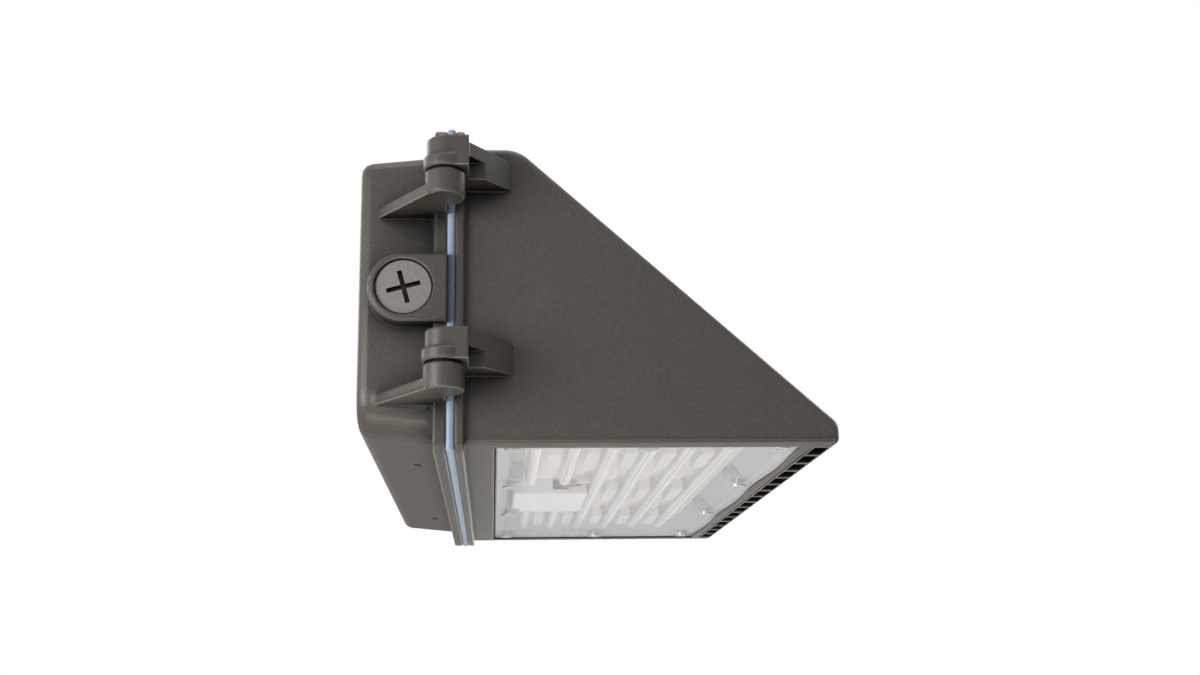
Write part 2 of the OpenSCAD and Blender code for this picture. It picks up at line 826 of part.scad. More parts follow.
module lamp_housing() {
    color(bronze)
    difference() {
        union() {
            house_shell();
            flange_block(y_door, y_house);
            for (z = [hinge_low_z, hinge_low_z + hinge_pitch]) {
                knuckle(door_knuckle_d, z + door_knuckle_z, door_knuckle_h);
                knuckle(collar_d, z + door_knuckle_z, collar_h);
                door_arm(z);
            }
            for (s = [-1, 1])
                ear(s * screw_pitch / 2, y_door, y_door - door_ear_t);
        }
        difference() {
            house_cavity();
            for (p = lens_screws)
                rod_z(post_d, p[0], p[1], ledge_z1 - over, ledge_z1 + post_h);
            for (s = [-1, 1], r = post_rows_share)
                rod_z(post_d, s * post_x, in_y0 + r * (in_y1 - in_y0), ledge_z1 - over, spreader_z0);
        }
        along_z(house_z0 - over, ledge_z0) polygon(lens_outline(0, 0));
        along_z(ledge_z0 - over, ledge_z1 + over) ledge_opening();
        for (k = [0 : vent_count - 1])
            vent_pocket(-vent_span / 2 + k * (vent_w + vent_rib));
        along_z(house_z0 - over, house_z0 + groove_depth)
            rect(-vent_span / 2, vent_span / 2, vent_y0 + groove_gap, vent_y0 + groove_gap + groove_w);
        for (p = lens_screws)
            rod_z(lens_screw_d + 2 * screw_hole_clear, p[0], p[1], ledge_z0 - over, ledge_z1 + post_h + over);
        for (s = [-1, 1], r = post_rows_share)
            rod_z(fix_d + 2 * screw_hole_clear, s * post_x, in_y0 + r * (in_y1 - in_y0), ledge_z1, spreader_z0 + over);
        for (z = [hinge_low_z, hinge_low_z + hinge_pitch])
            rod_z(pin_d + 2 * pin_clear, hinge_x, hinge_y, z + door_knuckle_z - over, z + hinge_h - pin_roof);
        for (s = [-1, 1]) {
            rod_y(ear_fit_d, ear_x, s * screw_pitch / 2, y_door + over, y_door - door_ear_t + neck_wall);
            rod_y(neck_hole_d, ear_x, s * screw_pitch / 2, y_door, y_door - door_ear_t - over);
        }
    }
}

module lens() {
    color(clear, 0.35)
    difference() {
        along_z(lens_z0, lens_z1) polygon(lens_outline(-lens_clear, lens_clear - lens_rear_gap));
        for (p = lens_screws)
            rod_z(lens_screw_d + 4 * screw_hole_clear, p[0], p[1], lens_z0 - over, lens_z1 + over);
    }
}

// Silicone ring between the lens and the ledge, outside the rim of the tray
module lens_gasket() {
    color(silicone)
    along_z(lens_z1, ledge_z0)
        difference() {
            rect(-open_hw + 2 * lens_clear, open_hw - 2 * lens_clear, open_y1 + 2 * lens_clear + lens_wave,
                open_y0 - lens_rear_gap - lens_clear);
            rect(-tray_rim_hw - lens_clear, tray_rim_hw + lens_clear, tray_rim_y1 - lens_clear, tray_rim_y0 + lens_clear);
        }
}

// Wafer head screws through the lens into the posts
module lens_screws() {
    color(stainless)
    for (p = lens_screws)
        difference() {
            union() {
                rod_z(lens_head_d, p[0], p[1], lens_z0 - lens_head_t, lens_z0);
                rod_z(lens_screw_d, p[0], p[1], lens_z0, lens_z0 + lens_screw_len, 24);
            }
            for (a = [0, 90])
                translate([p[0], p[1], lens_z0 - lens_head_t])
                    rotate([0, 0, a])
                        cube([lens_head_d / 2, head_slot_w, lens_head_t], center = true);
        }
}

tray_rim_hw = open_hw - 3.3;
tray_rim_y0 = open_y0 - lens_rear_gap - 2.4;
tray_rim_y1 = open_y1 + 3.8;

// Four-sided pan that narrows upwards, with the screw blocks let into its sides
module pan(g, z0, z1) {
    x0 = in_hw - seat_clear - g;
    y0 = in_y0 - seat_clear - g;
    y1 = in_y1 + seat_clear + g;
    s = tray_slope;
    front_s = front_slope;
    function ring(z, dx, dr, df) = [
        [-x0 + dx, y1 + df, z], [x0 - dx, y1 + df, z], [x0 - dx, y0 - dr, z], [-x0 + dx, y0 - dr, z]
    ];
    difference() {
        loft([ring(z0, 0, 0, 0), ring(z0 + tray_t, 0, 0, 0), ring(z1, s, s / 2, front_s)]);
        for (sx = [-1, 1]) {
            x = sx * lens_screw_x * screw_x_share;
            w = block_w / 2 + seat_clear + g;
            d = block_in + seat_clear + g;
            along_z(z0 - over, z1 + over) rect(x - w, x + w, lens_screw_y0 - d, y0 + over);
            along_z(z0 - over, z1 + over) rect(x - w, x + w, y1 - over, lens_screw_y1 + d);
        }
    }
}

module reflector_tray() {
    color(white_paint)
    difference() {
        union() {
            along_z(rim_z0, ledge_z0) rect(-tray_rim_hw, tray_rim_hw, tray_rim_y1, tray_rim_y0);
            pan(0, rim_z0, tray_z1);
        }
        translate([0, 0, -tray_t]) pan(tray_t, rim_z0, tray_z1);
        along_z(rim_z0 - over, rim_z0 + tray_t / 2) pan_outline(tray_t);
        for (p = lens_screws)
            rod_z(lens_screw_d + 4 * screw_hole_clear, p[0], p[1], rim_z0 - over, ledge_z0 + over);
        rod_z(grommet_d, grommet_x, grommet_y, board_z0 - over, tray_z1 + over);
    }
}

// Outline of the pan at its rim
module pan_outline(g) {
    projection(cut = true) translate([0, 0, -rim_z0 - tray_t / 2]) pan(g, rim_z0, tray_z1);
}

module led_board() {
    color(white_paint)
    difference() {
        along_z(board_z0, board_z1) rect(-engine_len / 2, engine_len / 2, board_y1, board_y0);
        rod_z(grommet_d, grommet_x, grommet_y, board_z0 - over, board_z1 + over);
    }
}

// Start and end along X of each bar; the first two stop at the wire cover
function bar_spans(i) = i < 2
    ? [[-bar_len / 2, cover_x0 - cover_wire_gap], [cover_x1 + cover_gap, bar_len / 2]]
    : [[-bar_len / 2, bar_len / 2]];

module led_chips() {
    color("#f3e7a6")
    for (i = [0 : bar_count - 1], s = bar_spans(i))
        let (n = max(2, round(chip_count * (s[1] - s[0]) / bar_len)), step = (s[1] - s[0]) / n)
        for (k = [0 : n - 1])
            translate([s[0] + (k + 0.5) * step - chip / 2, bar_y0 - i * bar_pitch - chip_row - chip / 2, board_z0 - chip_t])
                cube([chip, chip, chip_t]);
}

// Clear extruded optic: two feet, a plate over the chips and a round rib at the rear
module optic_bar(i, span) {
    r = bar_rib_w / 2;
    z = board_z0;
    color(clear, 0.5)
    along_x(span[0], span[1])
        translate([bar_y0 - i * bar_pitch, z])
            polygon(concat(
                [[-bar_front, 0], [-bar_front + bar_foot, 0], [-bar_front + bar_foot, -bar_air],
                    [bar_rear - bar_foot, -bar_air], [bar_rear - bar_foot, 0], [bar_rear, 0],
                    [bar_rear, -bar_plate_t], [r, -bar_plate_t]],
                [for (k = [0 : bar_n]) let (a = -180 * k / bar_n) [r * cos(a), r - bar_h + r * sin(a)]],
                [[-r, -bar_plate_t], [-bar_front, -bar_plate_t]]
            ));
}

// Clear blocks on the cover plates, midway between the ribs
module bar_clips() {
    color(clear)
    for (i = [0 : bar_count - 2], x = [-1, 0, 1])
        if (i > 1 || x != 0)
            translate([x * clip_x - clip_len / 2, bar_y0 - (i + 0.5) * bar_pitch - clip_w / 2,
                board_z0 - bar_plate_t - clip_h])
                cube([clip_len, clip_w, clip_h]);
}

// Outline of the wire cover moved inwards by g, stepped back round the tray at a lens screw
module cover_outline(g) {
    step_x = lens_screw_x * screw_x_share - block_w / 2 - 2 * seat_clear - tray_t;
    step_y = lens_screw_y0 - block_in - 2 * seat_clear - tray_t;
    difference() {
        rect(cover_x0 + g, cover_x1 - g, cover_y1 + g, cover_y0 - g, cover_r);
        rect(step_x - g, cover_x1 + over, step_y - g, cover_y0 + over);
    }
}

module wire_cover() {
    color(white_paint)
    difference() {
        along_z(board_z0 - cover_h, board_z0) cover_outline(0);
        along_z(board_z0 - cover_h + cover_t, board_z0 + over) cover_outline(cover_t);
        translate([cover_x0 - over, lead_route[3][1] - cover_notch / 2, board_z0 - cover_h + 2 * cover_t])
            cube([cover_t + 2 * over, cover_notch, cover_h]);
    }
}

// Points of a route with extra points put in along a smooth curve
function route_point(r, i, t) =
    let (
        a = r[max(i - 1, 0)],
        b = r[i],
        c = r[i + 1],
        d = r[min(i + 2, len(r) - 1)]
    )
    0.5 * (2 * b + (c - a) * t + (2 * a - 5 * b + 4 * c - d) * t * t + (3 * b - a - 3 * c + d) * t * t * t);

function smooth_route(r, n) = concat(
    [for (i = [0 : len(r) - 2], k = [0 : n - 1]) route_point(r, i, k / n)],
    [r[len(r) - 1]]
);

// Round tube along a route
module tube(path, d, sides) {
    last = len(path) - 1;
    loft([
        for (i = [0 : last])
            let (
                t = unit(path[min(i + 1, last)] - path[max(i - 1, 0)]),
                side = abs(t[2]) > 0.9 ? [0, 1, 0] : [0, 0, 1],
                u = unit(cross(side, t)),
                v = cross(t, u)
            )
            [for (k = [0 : sides - 1]) path[i] + d / 2 * (u * cos(360 * k / sides) + v * sin(360 * k / sides))]
    ]);
}

module led_leads() {
    color("#8c2f28")
    for (s = [-1, 1])
        tube([for (p = smooth_route(lead_route, lead_step)) p + s * lead_gap / 2 * [0, 1, 1]], lead_d, lead_sides);
}

module lead_connector() {
    p = lead_route[0];
    color(white_paint)
    translate([p[0] - plug_block[0] - lead_d / 2, p[1] - plug_block[1] / 2, board_z0 - plug_block[2]])
        cube(plug_block);
}

module lead_grommet() {
    color(nylon_black)
    difference() {
        union() {
            rod_z(grommet_d, grommet_x, grommet_y, board_z1, spreader_z1);
            rod_z(grommet_d + 2 * grommet_lip, grommet_x, grommet_y, spreader_z1, spreader_z1 + grommet_lip_t);
        }
        rod_z(grommet_bore, grommet_x, grommet_y, board_z1 - over, spreader_z1 + grommet_lip_t + over);
    }
}

module heat_spreader() {
    color("#b4b6b8")
    difference() {
        along_z(spreader_z0, spreader_z1) rect(-spreader_hw, spreader_hw, spreader_y1, spreader_y0, cover_r);
        rod_z(grommet_d, grommet_x, grommet_y, spreader_z0 - over, spreader_z1 + over);
        for (s = [-1, 1], r = post_rows_share)
            rod_z(fix_d + 2 * screw_hole_clear, s * post_x, in_y0 + r * (in_y1 - in_y0),
                spreader_z0 - over, spreader_z1 + over);
        for (p = driver_fixings)
            rod_z(fix_d + 2 * screw_hole_clear, p[0], p[1], spreader_z0 - over, spreader_z1 + over);
    }
}

driver_fixings = [
    for (sx = [-1, 1], sy = [0.2, 0.8])
        [sx * (driver_len / 2 + driver_tab / 2), driver_y0 + sy * (driver_y1 - driver_y0)]
];

// Pan head screw pointing down, head underside at z
module pan_screw(x, y, z, len) {
    rod_z(fix_head_d, x, y, z, z + fix_head_t);
    rod_z(fix_d, x, y, z - len, z, 24);
}

module spreader_screws() {
    color(stainless)
    for (s = [-1, 1], r = post_rows_share)
        pan_screw(s * post_x, in_y0 + r * (in_y1 - in_y0), spreader_z1, spreader_t + post_h);
}

module driver_bracket() {
    w = driver_len / 2 + driver_tab;
    color(zinc)
    difference() {
        along_z(spreader_z1, driver_z0) rect(-w, w, driver_y1 - cover_r, driver_y0 + cover_r, cover_r);
        for (p = driver_fixings)
            rod_z(fix_d + 2 * screw_hole_clear, p[0], p[1], spreader_z1 - over, driver_z0 + over);
    }
}

module led_driver() {
    w = driver_len / 2;
    color("#d8d9da")
    difference() {
        union() {
            along_x(-w, w) rect(driver_y1, driver_y0, driver_z0, driver_z0 + driver_h, driver_r);
            along_z(driver_z0, driver_z0 + driver_tab_t)
                rect(-w - driver_tab + cover_r, w + driver_tab - cover_r, driver_y1 + driver_r, driver_y0 - driver_r);
        }
        for (p = driver_fixings)
            rod_z(fix_d + 2 * screw_hole_clear, p[0], p[1], driver_z0 - over, driver_z0 + driver_tab_t + over);
    }
}

module driver_screws() {
    color(stainless)
    for (p = driver_fixings)
        pan_screw(p[0], p[1], driver_z0 + driver_tab_t, driver_tab_t + bracket_t + spreader_t / 2);
}

block_len = 36;
block_t = 13;
block_h = 14;
block_poles = 3;
pole_d = 6;

// Push-in terminal block on the rear of the driver
module terminal_block() {
    z0 = driver_z0 + driver_h / 4;
    color("#e9e6dc")
    difference() {
        translate([driver_len / 4, driver_y0, z0]) cube([block_len, block_t, block_h]);
        for (k = [0 : block_poles - 1])
            rod_y(pole_d, driver_len / 4 + (k + 0.5) * block_len / block_poles, z0 + block_h / 2,
                driver_y0 + block_t + over, driver_y0 + block_t / 2, 24);
    }
}

// Captive screw: slotted hexagon head, thin neck and a threaded end
module closing_screw(side) {
    z = side * screw_pitch / 2;
    head_y = y_door - door_ear_t - pin_clear;
    start = y_face + screw_start;
    color(stainless)
    difference() {
        union() {
            rod_y(head_flange_d, ear_x, z, head_y, head_y - head_flange_t);
            rod_y(head_af / cos(30), ear_x, z, head_y, head_y - head_h, 6);
            rod_y(neck_d, ear_x, z, start, head_y, 24);
            rod_y(screw_d, ear_x, z, start + thread_len, start);
        }
        translate([ear_x, head_y - head_h, z])
            cube([head_slot_w, 2 * head_slot_depth, head_af + head_flange_d], center = true);
    }
}

back_box();
box_gasket();
entry_plug(-1);  // plug_left
entry_plug(1);  // plug_right
hinge_pin(hinge_low_z);  // hinge_pin_lower
hinge_pin(hinge_low_z + hinge_pitch);  // hinge_pin_upper
hinge_washer(hinge_low_z);  // hinge_washer_lower
hinge_washer(hinge_low_z + hinge_pitch);  // hinge_washer_upper
ground_screw();
lamp_housing();
lens();
lens_gasket();
lens_screws();
reflector_tray();
led_board();
led_chips();
optic_bar(0, bar_spans(0)[0]);  // optic_bar_1_left
optic_bar(0, bar_spans(0)[1]);  // optic_bar_1_right
optic_bar(1, bar_spans(1)[0]);  // optic_bar_2_left
optic_bar(1, bar_spans(1)[1]);  // optic_bar_2_right
optic_bar(2, bar_spans(2)[0]);  // optic_bar_3
optic_bar(3, bar_spans(3)[0]);  // optic_bar_4
optic_bar(4, bar_spans(4)[0]);  // optic_bar_5
optic_bar(5, bar_spans(5)[0]);  // optic_bar_6
bar_clips();
wire_cover();
led_leads();
lead_connector();
lead_grommet();
heat_spreader();
spreader_screws();
driver_bracket();
led_driver();
driver_screws();
terminal_block();
closing_screw(-1);  // closing_screw_lower
closing_screw(1);  // closing_screw_upper
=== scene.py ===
import math

import bpy
import numpy as np
from mathutils import Matrix, Vector


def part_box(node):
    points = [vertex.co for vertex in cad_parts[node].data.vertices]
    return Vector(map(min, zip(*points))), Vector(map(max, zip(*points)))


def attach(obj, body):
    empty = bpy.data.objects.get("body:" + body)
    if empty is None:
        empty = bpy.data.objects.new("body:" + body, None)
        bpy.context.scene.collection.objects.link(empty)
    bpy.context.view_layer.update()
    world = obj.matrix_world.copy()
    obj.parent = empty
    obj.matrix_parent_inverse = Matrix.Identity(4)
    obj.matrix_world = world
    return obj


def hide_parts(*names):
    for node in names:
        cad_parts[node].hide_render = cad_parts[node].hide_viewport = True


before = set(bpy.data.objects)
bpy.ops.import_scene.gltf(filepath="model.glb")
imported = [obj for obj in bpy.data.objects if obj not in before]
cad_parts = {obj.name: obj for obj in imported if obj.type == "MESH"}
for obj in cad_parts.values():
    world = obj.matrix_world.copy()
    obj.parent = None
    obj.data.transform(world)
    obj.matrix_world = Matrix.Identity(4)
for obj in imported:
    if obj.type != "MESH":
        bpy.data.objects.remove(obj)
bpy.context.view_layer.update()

MM = 0.001


# Colours and nodes

# Sockets of the Mix node. Their names repeat, so they are reached by number.
MIX_SHARE = 0
COLOUR_A, COLOUR_B, COLOUR_MIXED = 6, 7, 2
VECTOR_A, VECTOR_B, VECTOR_MIXED = 4, 5, 1


def srgb(code, alpha=1.0):
    """Linear colour of an sRGB hex code: each channel c is c/12.92 below 0.04045,
    and ((c + 0.055)/1.055) to the power 2.4 above it."""
    c = np.array([int(code[i:i + 2], 16) for i in (0, 2, 4)]) / 255.0
    lin = np.where(c <= 0.04045, c / 12.92, ((c + 0.055) / 1.055) ** 2.4)
    return (*lin.tolist(), alpha)


def add(mat, kind, links=None, **values):
    """Adds one node. Attributes are set by name, sockets by the names or numbers in the links
    dictionary: a value is written, another node's socket is linked."""
    node = mat.node_tree.nodes.new(kind)
    for name, value in values.items():
        setattr(node, name, value)
    for name, value in (links or {}).items():
        socket = node.inputs[name]
        if isinstance(value, bpy.types.NodeSocket):
            mat.node_tree.links.new(value, socket)
        else:
            socket.default_value = value
    return node


def new_material(name):
    """An empty node material with its output."""
    mat = bpy.data.materials.new(name)
    mat.use_nodes = True
    mat.node_tree.nodes.clear()
    out = add(mat, "ShaderNodeOutputMaterial")
    return mat, out


def clouds(mat, size_mm, low, high, stretch=(1.0, 1.0, 1.0)):
    """Clouds of one size between two tones, shorter along an axis whose stretch is larger.
    Returns the colour and the noise."""
    low_stop, high_stop = 0.3, 0.7
    coord = add(mat, "ShaderNodeTexCoord")
    place = add(mat, "ShaderNodeMapping", {"Vector": coord.outputs["Object"], "Scale": stretch})
    noise = add(mat, "ShaderNodeTexNoise", {
        "Vector": place.outputs["Vector"], "Scale": 1 / (size_mm * MM), "Detail": 3.0})
    ramp = add(mat, "ShaderNodeValToRGB", {"Fac": noise.outputs["Fac"]})
    first, last = ramp.color_ramp.elements
    first.position = low_stop
    first.color = low
    last.position = high_stop
    last.color = high
    return ramp.outputs["Color"], noise.outputs["Fac"]


def surface(name, low, high, cloud_mm, rough, swing=0.08, grain_mm=None, edge_mm=0.0, metal=0.0,
            specular=0.5, alpha=1.0, sheen=0.0, stretch=(1.0, 1.0, 1.0), colour=None, shape=None):
    """The surface of one real material. Its tone clouds from low to high over cloud_mm, its
    roughness follows the clouds by plus and minus the swing, its corners are softened over edge_mm,
    and its grain is a depth and a size. Where a material needs more, colour(mat, tone) changes the
    tone and shape(mat, normal) the normal."""
    mat, out = new_material(name)
    tone, cloud = clouds(mat, cloud_mm, srgb(low), srgb(high), stretch)
    if colour is not None:
        tone = colour(mat, tone)
    gloss = add(mat, "ShaderNodeMapRange", {
        "Value": cloud, "To Min": rough - swing, "To Max": rough + swing})
    skin = add(mat, "ShaderNodeBsdfPrincipled", {
        "Base Color": tone, "Roughness": gloss.outputs["Result"], "Metallic": metal, "Alpha": alpha,
        "Specular IOR Level": specular, "Sheen Weight": sheen})
    normal = None
    if edge_mm > 0:
        normal = add(mat, "ShaderNodeBevel", {"Radius": edge_mm * MM}, samples=4).outputs["Normal"]
    if shape is not None:
        normal = shape(mat, normal)
    if grain_mm is not None:
        depth, size = grain_mm
        coord = add(mat, "ShaderNodeTexCoord")
        grit = add(mat, "ShaderNodeTexNoise", {
            "Vector": coord.outputs["Object"], "Scale": 1 / (size * MM), "Detail": 2.0})
        relief = add(mat, "ShaderNodeBump", {
            "Height": grit.outputs["Fac"], "Distance": depth * MM, "Strength": 1.0})
        if normal is not None:
            mat.node_tree.links.new(normal, relief.inputs["Normal"])
        normal = relief.outputs["Normal"]
    if normal is not None:
        mat.node_tree.links.new(normal, skin.inputs["Normal"])
    mat.node_tree.links.new(skin.outputs["BSDF"], out.inputs["Surface"])
    return mat


# Powder coat of the two castings

COAT_EDGE_MM = 1.4


def painted_edge_highlight(mat, tone):
    """A painted highlight: a lighter tone on edges that face down, where the light from below catches
    them. The share is how far the softened normal leaves the face's own, times how far it leans down."""
    parting_from, parting_to = 0.985, 0.9
    lean_from, lean_to = -0.25, -0.7
    face = add(mat, "ShaderNodeNewGeometry").outputs["Normal"]
    soft = add(mat, "ShaderNodeBevel", {"Radius": COAT_EDGE_MM * MM}, samples=6).outputs["Normal"]
    match = add(mat, "ShaderNodeVectorMath", {0: face, 1: soft}, operation="DOT_PRODUCT")
    parting = add(mat, "ShaderNodeMapRange", {
        "Value": match.outputs["Value"], "From Min": parting_from, "From Max": parting_to})
    tilt = add(mat, "ShaderNodeSeparateXYZ", {0: soft})
    lean = add(mat, "ShaderNodeMapRange", {
        "Value": tilt.outputs["Z"], "From Min": lean_from, "From Max": lean_to})
    share = add(mat, "ShaderNodeMath", {0: parting.outputs["Result"], 1: lean.outputs["Result"]},
                operation="MULTIPLY")
    return add(mat, "ShaderNodeMix", {
        MIX_SHARE: share.outputs[0], COLOUR_A: tone, COLOUR_B: srgb("8f8a80")},
        data_type="RGBA").outputs[COLOUR_MIXED]


def painted_pocket_shade(mat, tone):
    """Painted shade: a near black tone deep in the vents, the pockets of the hinge arms and narrow
    corners, where hardly any light comes. The share is how open the place is, where only what lies
    within the reach can close it."""
    reach = 16 * MM
    closed, clear = 0.6, 0.95
    air = add(mat, "ShaderNodeAmbientOcclusion", {"Distance": reach}, samples=8, only_local=True)
    share = add(mat, "ShaderNodeMapRange", {
        "Value": air.outputs["AO"], "From Min": closed, "From Max": clear})
    return add(mat, "ShaderNodeMix", {
        MIX_SHARE: share.outputs["Result"], COLOUR_A: srgb("040404"), COLOUR_B: tone},
        data_type="RGBA").outputs[COLOUR_MIXED]


def coat_tone_with_painted_light(mat, tone):
    """The coat's tone with its painted edge highlights and painted shade in the pockets."""
    return painted_pocket_shade(mat, painted_edge_highlight(mat, tone))


def smooth_foot(mat, normal):
    """One smooth rounding under the wiring box, whose solid has flat strips there. It holds behind
    the flange, y > flange_back, and low down, z < lowest + foot_height."""
    flange_back, foot_height, reach = -32 * MM, 30 * MM, 5 * MM
    low_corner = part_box("back_box")[0]
    coord = add(mat, "ShaderNodeTexCoord")
    place = add(mat, "ShaderNodeSeparateXYZ", {0: coord.outputs["Object"]})
    behind = add(mat, "ShaderNodeMath", {0: place.outputs["Y"], 1: flange_back},
                 operation="GREATER_THAN")
    beneath = add(mat, "ShaderNodeMath", {0: place.outputs["Z"], 1: low_corner[2] + foot_height},
                  operation="LESS_THAN")
    share = add(mat, "ShaderNodeMath", {0: behind.outputs[0], 1: beneath.outputs[0]},
                operation="MULTIPLY")
    wide = add(mat, "ShaderNodeBevel", {"Radius": reach}, samples=8)
    return add(mat, "ShaderNodeMix", {
        MIX_SHARE: share.outputs[0], VECTOR_A: normal, VECTOR_B: wide.outputs["Normal"]},
        data_type="VECTOR").outputs[VECTOR_MIXED]


# Die-cast aluminium with a baked polyester powder coat, dark bronze. The powder melts to a fine sand
# that breaks the light into a soft sheen. The real grit is about 0.4 mm. It and the speckle in the
# tone are drawn about 1 mm wide, so that they show.
# Its tone carries painted highlights on edges that face down and painted shade deep in the vents, the
# arm pockets and narrow corners.
bronze_powder_coat = surface(
    "bronze_powder_coat", "3a3632", "46413a", cloud_mm=1.11, rough=0.4, grain_mm=(0.1, 0.91),
    edge_mm=COAT_EDGE_MM, specular=0.42, colour=coat_tone_with_painted_light, shape=smooth_foot)

# Other finishes outside

# Mould grain and cast skin are finer than 0.3 mm, here and further down. They are drawn about 1 mm
# wide, so that they show.

# Silicone, compression moulded, pale blue grey. Matt and a little dusty, so its rim catches light.
moulded_blue_silicone = surface(
    "moulded_blue_silicone", "7c90a7", "899cb1", cloud_mm=16.7, rough=0.55, grain_mm=(0.04, 1.11),
    sheen=0.2)


def plug_painted_shade(mat, tone):
    """Painted shade: black in the cross slot and in the gap round the rim, where the thread ends in
    the bore. The slot is what lies inside the face plane, |x| < face - step, and the rim is r > radius
    - width."""
    step, width = 0.2 * MM, 0.8 * MM
    low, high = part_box("plug_left")
    coord = add(mat, "ShaderNodeTexCoord")
    place = add(mat, "ShaderNodeSeparateXYZ", {0: coord.outputs["Object"]})
    out = add(mat, "ShaderNodeMath", {0: place.outputs["X"]}, operation="ABSOLUTE")
    sunk = add(mat, "ShaderNodeMath", {0: out.outputs[0], 1: abs(low[0]) - step},
               operation="LESS_THAN")
    centre = add(mat, "ShaderNodeCombineXYZ", {1: (low[1] + high[1]) / 2, 2: (low[2] + high[2]) / 2})
    flat = add(mat, "ShaderNodeCombineXYZ", {1: place.outputs["Y"], 2: place.outputs["Z"]})
    span = add(mat, "ShaderNodeVectorMath", {0: flat.outputs[0], 1: centre.outputs[0]},
               operation="DISTANCE")
    rim = add(mat, "ShaderNodeMath", {0: span.outputs["Value"], 1: (high[1] - low[1]) / 2 - width},
              operation="GREATER_THAN")
    dark = add(mat, "ShaderNodeMath", {0: sunk.outputs[0], 1: rim.outputs[0]}, operation="MAXIMUM")
    return add(mat, "ShaderNodeMix", {
        MIX_SHARE: dark.outputs[0], COLOUR_A: tone, COLOUR_B: srgb("070606")},
        data_type="RGBA").outputs[COLOUR_MIXED]


# Zinc, die-cast, left bare and dulled. The oxide on it scatters light as a paint does, so the face is
# a flat warm grey and no mirror.
# Its cross slot and the gap round its rim are painted shade, black.
dulled_cast_zinc = surface(
    "dulled_cast_zinc", "757170", "7e7a79", cloud_mm=2.0, rough=0.5, grain_mm=(0.03, 0.83),
    edge_mm=0.3, specular=0.3, colour=plug_painted_shade)

# Stainless steel, cold headed. Bright, with soft glints from the marks of the die. These are about
# 0.2 mm apart and are drawn 0.6 mm apart, so that they show.
headed_stainless = surface(
    "headed_stainless", "d6d7d8", "ececed", cloud_mm=3.33, rough=0.34, grain_mm=(0.02, 0.56),
    edge_mm=0.2, metal=1.0)

# Steel, zinc plated and dyed green, as ground screws are. Smooth, with an even gloss.
dyed_zinc_plate = surface(
    "dyed_zinc_plate", "2c7444", "38885a", cloud_mm=3.33, rough=0.35, edge_mm=0.2)

# Nylon, moulded, black. Dull, and almost without a highlight.
moulded_black_nylon = surface(
    "moulded_black_nylon", "121212", "1a1a1a", cloud_mm=2.5, rough=0.6, grain_mm=(0.03, 1.11),
    specular=0.1)

# Finishes of the light engine


def ring_painted_shade(mat, tone):
    """Painted shade: black along the rear run, y > rear - run, which lies in the shade of the gap
    behind the lens.
    """
    run = 0.7 * MM
    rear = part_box("lens")[1][1]
    coord = add(mat, "ShaderNodeTexCoord")
    place = add(mat, "ShaderNodeSeparateXYZ", {0: coord.outputs["Object"]})
    behind = add(mat, "ShaderNodeMath", {0: place.outputs["Y"], 1: rear - run},
                 operation="GREATER_THAN")
    return add(mat, "ShaderNodeMix", {
        MIX_SHARE: behind.outputs[0], COLOUR_A: tone, COLOUR_B: srgb("0c0c0c")},
        data_type="RGBA").outputs[COLOUR_MIXED]


# Silicone, moulded, white. Soft and matt, a shade greyer than the lens that it holds.
# Its rear run is painted shade, black.
moulded_white_silicone = surface(
    "moulded_white_silicone", "c9cbcd", "ccced1", cloud_mm=16.7, rough=0.5, grain_mm=(0.03, 1.11),
    colour=ring_painted_shade)

# Polycarbonate, moulded clear and lightly frosted. A thin milky veil over what lies behind, with a
# gloss that dulls a little where the melt flowed.
frosted_polycarbonate = surface(
    "frosted_polycarbonate", "f5f5f8", "fafafc", cloud_mm=33.3, rough=0.12, swing=0.03, alpha=0.27)

# Painted light over one pitch of the optics, from the middle of a rib forwards, each tone as its share
# of the pitch and its colour. The edges of a rib are painted refraction, thin grey lines of shade
# beside painted highlights, and the board seen through the clear plastic is painted on as a warm
# stripe.
ROW_PAINTED_LIGHT = (
    (0.0, "fafafa"), (0.05, "fcfcfc"), (0.065, "cfcfcf"), (0.09, "cfcfcf"), (0.105, "fcfcfc"),
    (0.15, "f2f2f2"), (0.165, "dcdcdc"), (0.185, "fefefe"), (0.22, "efeeee"), (0.30, "f3f2f2"),
    (0.38, "f8f4f1"), (0.52, "f8f5f2"), (0.60, "fafafa"), (0.76, "fbfbfc"), (0.81, "fefefe"),
    (0.835, "d8d8d8"), (0.86, "f5f5f5"), (0.91, "fafafa"), (0.92, "d2d2d2"), (0.945, "d2d2d2"),
    (0.955, "fafafa"), (1.0, "fafafa"))


